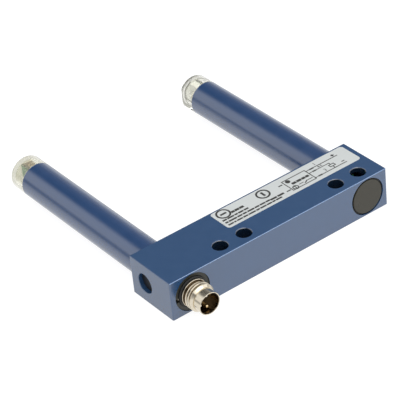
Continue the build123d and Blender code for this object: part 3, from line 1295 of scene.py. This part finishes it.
    def _print(self) -> Piece:
        """Makes the print, each mark in its place on the foil.

        Returns:
            The print.
        """
        makers = {
            MarkKind.BAR: lambda mark: self._bar(mark.length, mark.width),
            MarkKind.RING: self._ring,
            MarkKind.DISC: self._disc,
            MarkKind.FRAME: self._frame,
            MarkKind.NUMBER: self._number,
        }
        mesh = self.ink.mesh
        for mark in self.marks:
            verts = makers[mark.kind](mark)
            place = Matrix.Translation((mark.x * MM, mark.y * MM, self.high.z))
            turn = Matrix.Rotation(math.radians(mark.turn), 4, "Z")
            bmesh.ops.transform(mesh, verts=verts, matrix=place @ turn)
        bmesh.ops.recalc_face_normals(mesh, faces=mesh.faces)
        return self.ink.finish("label_print", INK.material())

    def build(self) -> list[Piece]:
        """Makes the label in the place of its CAD solid.

        Returns:
            The foil and its print.
        """
        foil = self._sheet()
        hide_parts("rating_label")
        pieces = [foil, self._print()]
        for piece in pieces:
            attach(piece, "root")
        return pieces


@dataclass
class PhotoCamera:
    """The photograph's camera, by its angles round the object in degrees and its distance."""

    azimuth: float = 214.295
    elevation: float = 34.701
    roll: float = -6.1581
    distance: float = 537.2823
    aside: float = 17.1449
    down: float = -12.7168
    lens: float = 178.66
    sensor: float = 36.0

    def build(self) -> None:
        """Makes the camera and gives it to the scene."""
        back = way_to(self.azimuth, self.elevation)
        right = (-back).cross(Vector((0, 0, 1))).normalized()
        above = right.cross(-back)
        lean = math.radians(self.roll)
        across = right * math.cos(lean) + above * math.sin(lean)
        upright = above * math.cos(lean) - right * math.sin(lean)
        stand = (back * self.distance - across * self.aside - upright * self.down) * MM
        data = bpy.data.cameras.new("photo_camera")
        data.lens, data.sensor_width = self.lens, self.sensor
        data.clip_start, data.clip_end = 0.01, 20.0
        camera = new_object("photo_camera", data)
        axes = Matrix((across, upright, back)).transposed().to_4x4()
        camera.matrix_world = Matrix.Translation(stand) @ axes
        bpy.context.scene.camera = camera


@dataclass(frozen=True)
class Panel:
    """A soft box: its place and size in degrees as seen from the object, and its light."""

    name: str
    azimuth: float
    elevation: float
    width: float
    height: float
    radiance: float
    distance: float = 1.2

    def build(self) -> None:
        """Makes the soft box as an area lamp that faces the object."""
        way = way_to(self.azimuth, self.elevation)
        data = bpy.data.lights.new(self.name, "AREA")
        data.shape = "RECTANGLE"
        data.size = 2 * math.tan(math.radians(self.width / 2)) * self.distance
        data.size_y = 2 * math.tan(math.radians(self.height / 2)) * self.distance
        data.energy = self.radiance * math.pi * data.size * data.size_y
        lamp = new_object(self.name, data)
        side = Vector((0, 0, 1)).cross(way).normalized()
        above = way.cross(side)
        axes = Matrix((side, above, way)).transposed().to_4x4()
        lamp.matrix_world = Matrix.Translation(way * self.distance) @ axes
        lamp.visible_camera = False


@dataclass
class Studio:
    """A white table, soft boxes and a backdrop that fades upwards."""

    floor_size: float = 3.0
    floor_drop: float = 0.02
    floor_colour: float = 0.9
    floor_light: float = 1.2
    floor_glow: float = 0.76
    # Painted reflection: in front of the block the table's reflected light changes along X, a
    # little brighter beside the plug.
    front_glow: Pair = (0.86, 0.84)
    front_reach: Pair = (-0.036, -0.018)
    front_y: float = -0.009
    arm_start: Pair = (0.012, 0.030)
    # Painted reflection: beside the arms the table, as seen in gloss, darkens and brightens in
    # bands along X for the arms' shadows and the lit floor between them.
    painted_reflection_bands: Bands = (
        (0.00, 0.38), (0.075, 0.48), (0.125, 0.68), (0.24, 0.85), (0.275, 0.95), (0.325, 0.92),
        (0.35, 0.68), (0.38, 0.45), (0.45, 0.45), (0.48, 0.90), (0.525, 0.90), (0.585, 1.00),
        (0.645, 0.86), (0.70, 0.60), (0.78, 0.70), (0.88, 0.92),
    )
    band_reach: float = 0.1
    open_side: Bands = (
        (0.00, 0.95), (0.10, 0.74), (0.14, 0.67), (0.285, 0.47),
        (0.42, 0.32), (0.53, 0.20), (0.63, 0.14), (0.70, 0.07),
    )
    screen_side: Bands = (
        (0.00, 0.40), (0.08, 0.44), (0.16, 0.95), (0.22, 1.05),
        (0.62, 1.05), (0.70, 0.70), (0.78, 0.15),
    )
    screen_edge: Pair = (-0.05, -0.53)
    screen_end: Pair = (-1.6, -1.3)
    panels: tuple[Panel, ...] = (
        Panel("overhead_box", 180.0, 88.0, 75.0, 75.0, 1.25),
        Panel("front_right_box", 155.0, 45.0, 100.0, 60.0, 1.06),
    )

    def _floor(self) -> None:
        """Makes the table top: white to the camera, with painted shade and light in reflections,
        and it keeps a shadow.
        """
        sculpt = Sculpt()
        place = Matrix.Translation((0, 0, -self.floor_drop * MM))
        bmesh.ops.create_grid(
            sculpt.mesh, x_segments=2, y_segments=2, size=self.floor_size / 2, matrix=place
        )
        made = bpy.data.materials.new("table_white")
        made.use_nodes = True
        bench = NodeBench(made.node_tree)
        path = bench.add("LightPath", {}, {}).outputs
        rays = ("Is Camera Ray", "Is Glossy Ray", "Is Transmission Ray")
        seen, glossy, through = (Signal(bench, path[ray]) for ray in rays)
        x, y, _ = bench.axes()
        # Painted reflection: bands along X beside the arms, and a step along X in front.
        bands = bench.greys(self.painted_reflection_bands, (x + self.band_reach) * (0.5 / self.band_reach))
        beside_plug, clear_of_plug = self.front_glow
        painted_front_step = (1 - x.ramp(*self.front_reach)) * (y < self.front_y) * (clear_of_plug - beside_plug)
        front = clear_of_plug - painted_front_step
        arms = y.ramp(*self.arm_start)
        shine = glossy * (bands * arms + front * (1 - arms))
        share = (seen.most(through) * self.floor_glow).most(shine)
        white = bench.blend(glossy, (self.floor_colour,) * 3, (0.0, 0.0, 0.0))
        paint = bench.add("BsdfDiffuse", {}, {"Color": white})
        glow = bench.add("Emission", {}, {0: (1, 1, 1, 1), 1: self.floor_light})
        inputs = {0: share, 1: paint.outputs[0], 2: glow.outputs[0]}
        mixed = bench.add("MixShader", {}, inputs)
        bench.add("OutputMaterial", {}, {"Surface": mixed.outputs[0]})
        floor = sculpt.finish("table_top", made)

    def _sky(self) -> None:
        """Makes the backdrop: white to the camera; in gloss it fades up beside a screen."""
        world = bpy.data.worlds.new("studio_backdrop")
        world.use_nodes = True
        bench = NodeBench(world.node_tree)
        way = bench.add("TexCoord", {}, {}).outputs["Generated"]
        x, y, z = bench.axes(way)
        turn = x.bearing(y)
        share = turn.ramp(*self.screen_edge) * turn.ramp(*self.screen_end)
        fade = bench.blend(share, bench.greys(self.open_side, z), bench.greys(self.screen_side, z))
        path = bench.add("LightPath", {}, {}).outputs
        seen = Signal(bench, path["Is Camera Ray"]).most(Signal(bench, path["Is Transmission Ray"]))
        colour = bench.blend(seen, fade, (1.0, 1.0, 1.0))
        back = bench.add("Background", {}, {"Color": colour, "Strength": 1.0})
        bench.add("OutputWorld", {}, {"Surface": back.outputs[0]})
        bpy.context.scene.world = world

    def build(self) -> None:
        """Sets up the table, the soft boxes and the backdrop."""
        self._floor()
        self._sky()
        for panel in self.panels:
            panel.build()
            LOG.info("lit %s", panel.name)
        bpy.context.scene.view_settings.view_transform = "Standard"


def main() -> None:
    """Loads the frame, then builds the camera, the studio and the pieces."""
    logging.basicConfig(level=logging.INFO, format="%(name)s: %(message)s")
    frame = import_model()
    PhotoCamera().build()
    Studio().build()
    dress(frame["nodes"])
    caps = [EndCap(Side.LEFT, CLEAR).build(), EndCap(Side.RIGHT, DEEP_CLEAR).build()]
    for piece in [*caps, PlugShell().build(), *RatingLabel().build()]:
        LOG.info("built %s, %d faces", piece.name, len(piece.data.polygons))


if __name__ == "__main__":
    main()
